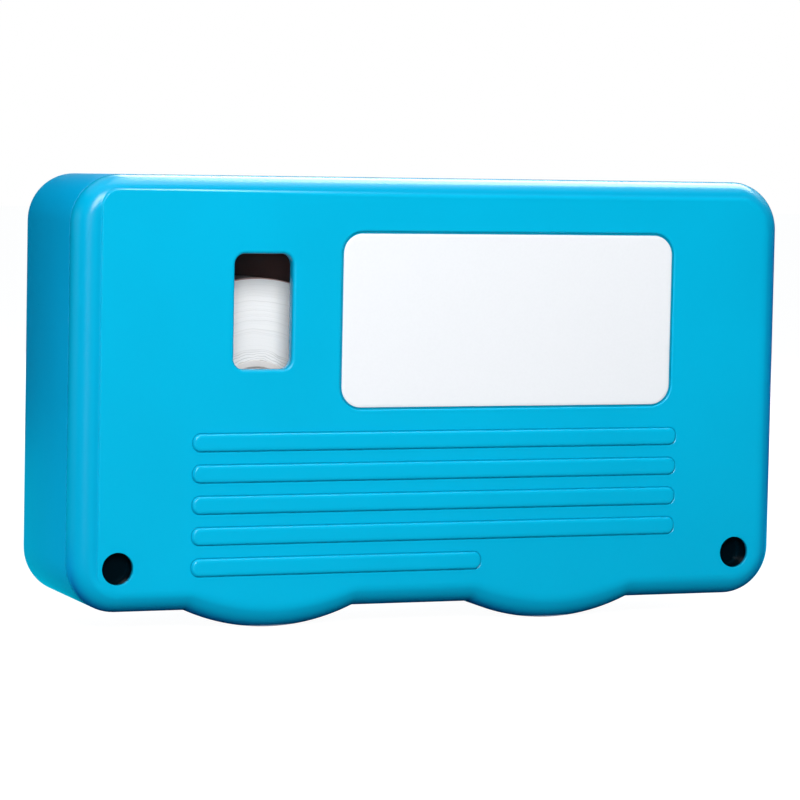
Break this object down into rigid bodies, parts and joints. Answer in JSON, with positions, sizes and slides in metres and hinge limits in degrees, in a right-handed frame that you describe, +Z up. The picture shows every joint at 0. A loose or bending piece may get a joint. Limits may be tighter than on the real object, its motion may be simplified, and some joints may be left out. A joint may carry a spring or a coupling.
{
  "type": "fibre optic cleaning cassette",
  "caption": "Hand-held cleaning cassette with a window on its tape reel, grip ribs, a side lever and a shutter over the cleaning aperture.",
  "frame": {"origin": "under the middle of the whole part, at the lowest line of the two bulges that it stands on", "axes": "+X to the lever's side, +Y from the pictured face to the back, +Z up to the shutter"},
  "size_m": [0.1426, 0.0334, 0.0794],
  "materials": {
    "cover_plastic": "glossy moulded plastic, cyan blue",
    "tray_plastic": "glossy moulded plastic, cyan blue",
    "label_film": "satin film, bare",
    "dark_plastic": "satin moulded plastic, brown-black",
    "natural_acetal": "satin natural acetal",
    "hub_plastic": "satin moulded plastic, pale pink",
    "cleaning_tape": "fine lint-free woven tape",
    "felt": "pressed felt",
    "pad_rubber": "soft rubber",
    "bright_steel": "ground steel",
    "black_steel": "blackened steel",
    "spring_steel": "drawn spring steel"
  },
  "bodies": {
    "root": {"front_cover": "cover_plastic", "rear_tray": "tray_plastic", "label": "label_film", "cover_screws": "black_steel", "lever_pin": "bright_steel", "lever_spring": "spring_steel", "spindle_clip": "black_steel", "backstop_leaf": "spring_steel", "cartridge_base": "dark_plastic", "guide_pins": "bright_steel", "brake_washer": "felt", "tape_strand": "cleaning_tape", "ferrule_guide": "dark_plastic", "backing_pad": "pad_rubber", "pad_spring": "spring_steel"},
    "lever": {"lever": "tray_plastic"},
    "slide": {"slide_plate": "natural_acetal", "shutter": "dark_plastic"},
    "drive": {"drive_pinion": "natural_acetal", "pawl_spring": "spring_steel"},
    "pawl": {"drive_pawl": "dark_plastic"},
    "takeup": {"ratchet_spindle": "natural_acetal", "takeup_hub": "hub_plastic", "takeup_tape": "cleaning_tape"},
    "supply": {"supply_hub": "hub_plastic", "supply_tape": "cleaning_tape"}
  },
  "joints": [
    {"name": "lever_press", "type": "hinge", "parent": "root", "child": "lever", "pos_m": [0.0512, 0, 0.02196], "axis": [0, -1, 0], "range_deg": [0, 13.78], "stiffness_Nm_per_rad": 0.2, "springref_deg": -17.19, "deforming": ["lever_spring"]},
    {"name": "shutter_slide", "type": "slide", "parent": "root", "child": "slide", "axis": [-1, 0, 0], "range_m": [0, 0.012]},
    {"name": "drive_spin", "type": "hinge", "parent": "root", "child": "drive", "pos_m": [0.02, 0, 0.0382], "axis": [0, -1, 0], "range_deg": [0, 114.6]},
    {"name": "pawl_lift", "type": "hinge", "parent": "drive", "child": "pawl", "pos_m": [0.01821, 0, 0.04834], "axis": [0, 1, 0], "range_deg": [0, 12], "stiffness_Nm_per_rad": 0.0002, "springref_deg": -11.46, "deforming": ["pawl_spring"]},
    {"name": "takeup_spin", "type": "hinge", "parent": "root", "child": "takeup", "pos_m": [0.02, 0, 0.0382], "axis": [0, -1, 0], "continuous": true, "deforming": ["backstop_leaf"]},
    {"name": "supply_spin", "type": "hinge", "parent": "root", "child": "supply", "pos_m": [-0.034, 0, 0.0382], "axis": [0, -1, 0], "continuous": true}
  ],
  "couplings": [
    {"joint": "shutter_slide", "follows": "lever_press", "m_per_rad": 0.04988},
    {"joint": "drive_spin", "follows": "lever_press", "ratio": 8.3133},
    {"joint": "takeup_spin", "follows": "lever_press", "ratio": 8.3133},
    {"joint": "supply_spin", "follows": "lever_press", "ratio": 3.8313}
  ]
}
